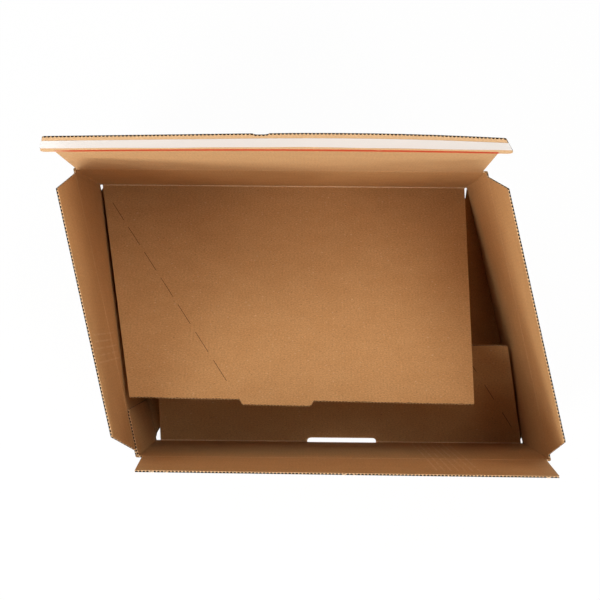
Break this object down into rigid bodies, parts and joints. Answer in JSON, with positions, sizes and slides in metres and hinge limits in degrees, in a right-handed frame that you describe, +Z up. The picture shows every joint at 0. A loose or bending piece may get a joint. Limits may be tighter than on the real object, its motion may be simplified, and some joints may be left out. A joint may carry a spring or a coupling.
{
  "type": "auto-lock carton",
  "caption": "Kraft corrugated carton with a glued auto-lock bottom and a self-seal tear-strip lid, half opened, its top flaps upright.",
  "frame": {"origin": "middle of the bounding box, on the plane the carton's lower rim rests on", "axes": "+X along the front wall to its right end, +Y to the rear wall and its lid, +Z up"},
  "size_m": [0.4662, 0.2884, 0.399],
  "materials": {
    "kraft_board": "matte",
    "glue": "satin",
    "liner_paper": "satin",
    "red_tape": "satin"
  },
  "bodies": {
    "carton": {"carton_body": "kraft_board"},
    "lid": {"lid_flap": "kraft_board", "adhesive_strip": "glue", "release_liner": "liner_paper", "tear_tape": "red_tape"},
    "front_flap": {"front_flap": "kraft_board"},
    "left_flap": {"left_side_flap": "kraft_board"},
    "right_flap": {"right_side_flap": "kraft_board"}
  },
  "joints": [
    {"name": "lid_crease", "type": "hinge", "parent": "carton", "child": "lid", "pos_m": [-0.03157, 0.13705, 0.175], "axis": [1, 0, 0], "range_deg": [-133, 10]},
    {"name": "front_flap_crease", "type": "hinge", "parent": "carton", "child": "front_flap", "pos_m": [0.03157, -0.14437, 0.175], "axis": [-1, 0, 0], "range_deg": [-170, 16]},
    {"name": "left_flap_crease", "type": "hinge", "parent": "carton", "child": "left_flap", "pos_m": [-0.20171, -0.00405, 0.175], "axis": [-0.2215, 0.9751, 0], "range_deg": [-170, 89.1]},
    {"name": "right_flap_crease", "type": "hinge", "parent": "carton", "child": "right_flap", "pos_m": [0.20171, -0.00328, 0.175], "axis": [0.2215, -0.9751, 0], "range_deg": [-170, 87.8]}
  ]
}
